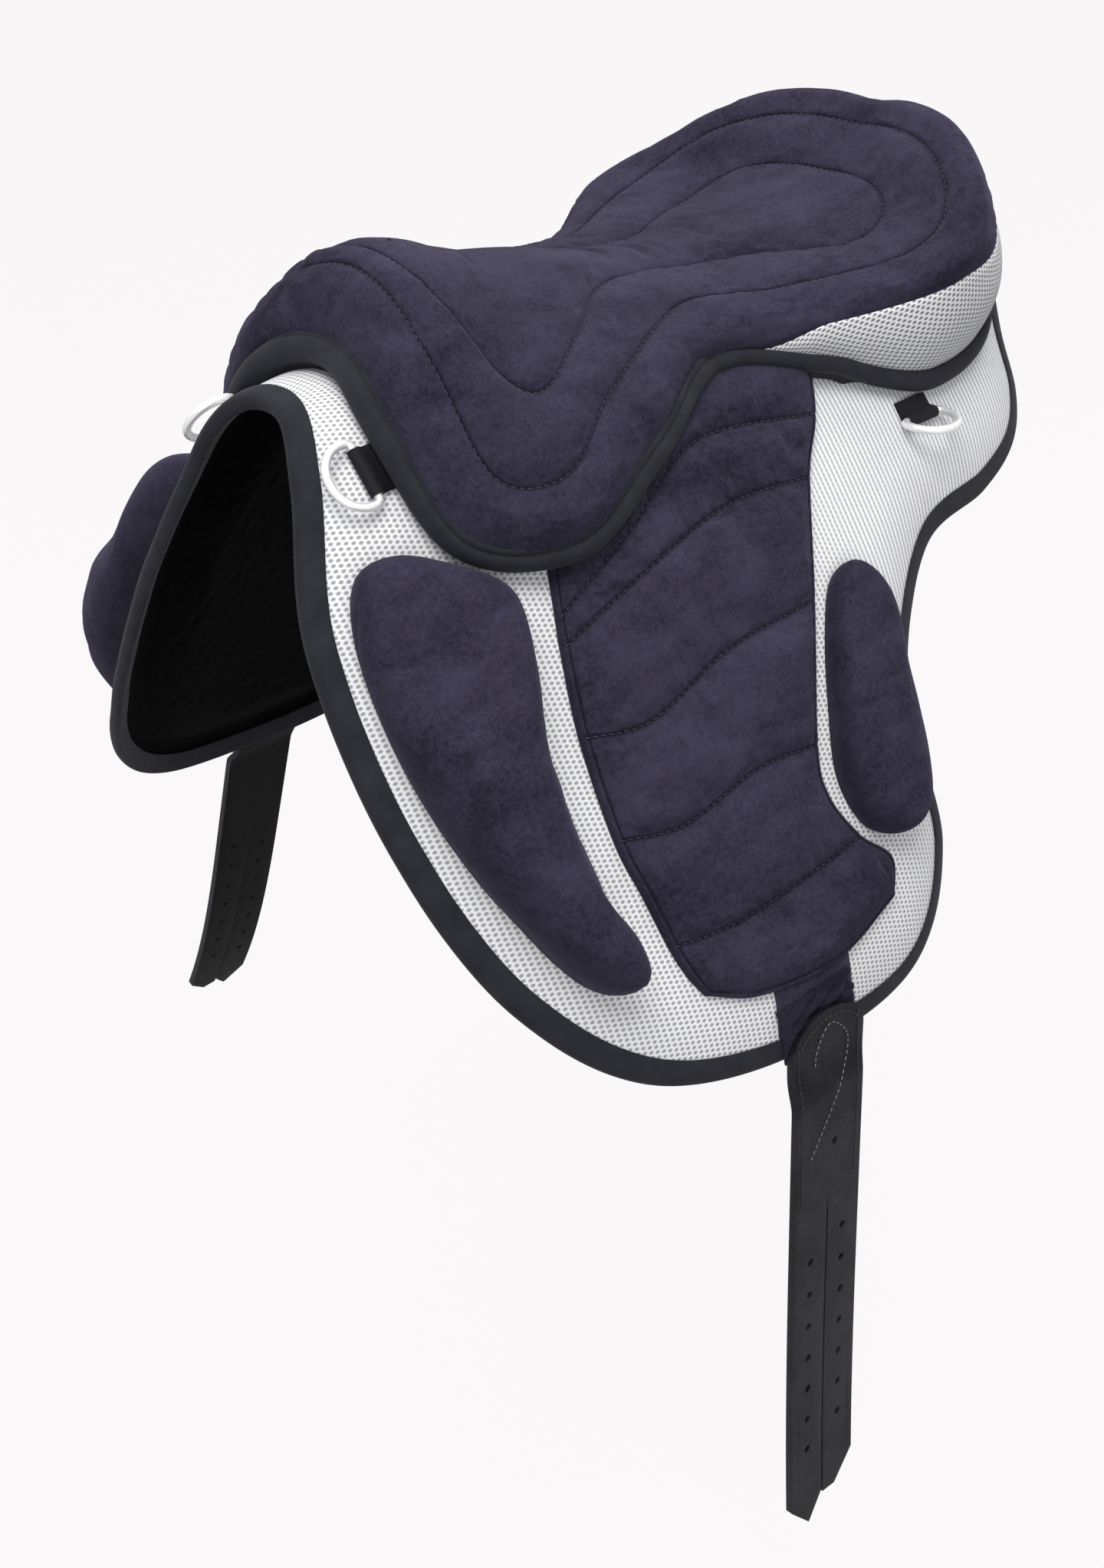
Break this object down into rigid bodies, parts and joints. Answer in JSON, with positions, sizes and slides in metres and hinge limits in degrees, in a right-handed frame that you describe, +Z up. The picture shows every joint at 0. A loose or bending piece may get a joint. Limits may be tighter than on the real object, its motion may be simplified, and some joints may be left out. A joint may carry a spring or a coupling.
{
  "type": "endurance saddle",
  "caption": "Treeless endurance saddle: padded suede seat on a soft mesh base with fleece lining, leg panels and blocks, tack rings and leather girth billets.",
  "frame": {"origin": "underside of the channel over the horse's spine, half way along the base", "axes": "+X towards the horse's left, -Y towards its head, +Z up"},
  "size_m": [0.6405, 0.5411, 0.6733],
  "materials": {
    "suede": "matt synthetic suede with a short nap",
    "spacer_mesh": "open spacer mesh over padding",
    "binding_tape": "ribbed edge tape",
    "fleece": "deep pile fleece",
    "lining_cloth": "plain lining cloth",
    "foam": "closed-cell foam, hidden",
    "webbing": "woven webbing",
    "hook_tape": "hook-and-loop tape, hidden",
    "leather": "smooth strap leather",
    "ring_steel": "polished round wire"
  },
  "bodies": {
    "saddle": {"base_binding": "binding_tape", "base_foam_left": "foam", "base_foam_right": "foam", "base_mesh_cover": "spacer_mesh", "cantle_gusset": "spacer_mesh", "d_ring_tab_front_left": "webbing", "d_ring_tab_front_right": "webbing", "d_ring_tab_rear_left": "webbing", "d_ring_tab_rear_right": "webbing", "fleece_lining_left": "fleece", "fleece_lining_right": "fleece", "girth_webbing": "webbing", "hook_strip_left": "hook_tape", "hook_strip_right": "hook_tape", "knee_block_left": "suede", "knee_block_right": "suede", "quilted_panel_left": "suede", "quilted_panel_right": "suede", "seat_binding": "binding_tape", "seat_foam": "foam", "seat_suede_cover": "suede", "spine_channel_cloth": "lining_cloth", "thigh_block_left": "suede", "thigh_block_right": "suede"},
    "d_ring_front_left": {"d_ring_front_left": "ring_steel"},
    "d_ring_front_right": {"d_ring_front_right": "ring_steel"},
    "d_ring_rear_left": {"d_ring_rear_left": "ring_steel"},
    "d_ring_rear_right": {"d_ring_rear_right": "ring_steel"},
    "billet_left": {"billet_left": "leather", "billet_hanger_left": "suede"},
    "billet_right": {"billet_right": "leather", "billet_hanger_right": "suede"}
  },
  "joints": [
    {"name": "d_ring_front_left_hinge", "type": "hinge", "parent": "saddle", "child": "d_ring_front_left", "pos_m": [0.05699, -0.25892, -0.0168], "axis": [-0.6355, -0.0108, 0.772], "range_deg": [-15, 116]},
    {"name": "d_ring_rear_left_hinge", "type": "hinge", "parent": "saddle", "child": "d_ring_rear_left", "pos_m": [0.124, 0.06213, -0.07007], "axis": [0.0208, -0.9993, 0.0317], "range_deg": [-52, 92]},
    {"name": "billet_left_hinge", "type": "hinge", "parent": "saddle", "child": "billet_left", "pos_m": [0.23658, -0.15113, -0.27915], "axis": [-0.0519, -0.9966, -0.0634], "range_deg": [0, 80]},
    {"name": "d_ring_front_right_hinge", "type": "hinge", "parent": "saddle", "child": "d_ring_front_right", "pos_m": [-0.05699, -0.25892, -0.0168], "axis": [-0.6355, 0.0108, -0.772], "range_deg": [-15, 116]},
    {"name": "d_ring_rear_right_hinge", "type": "hinge", "parent": "saddle", "child": "d_ring_rear_right", "pos_m": [-0.124, 0.06213, -0.07007], "axis": [0.0208, 0.9993, -0.0317], "range_deg": [-52, 92]},
    {"name": "billet_right_hinge", "type": "hinge", "parent": "saddle", "child": "billet_right", "pos_m": [-0.23658, -0.15113, -0.27915], "axis": [-0.0519, 0.9966, 0.0634], "range_deg": [0, 80]}
  ]
}
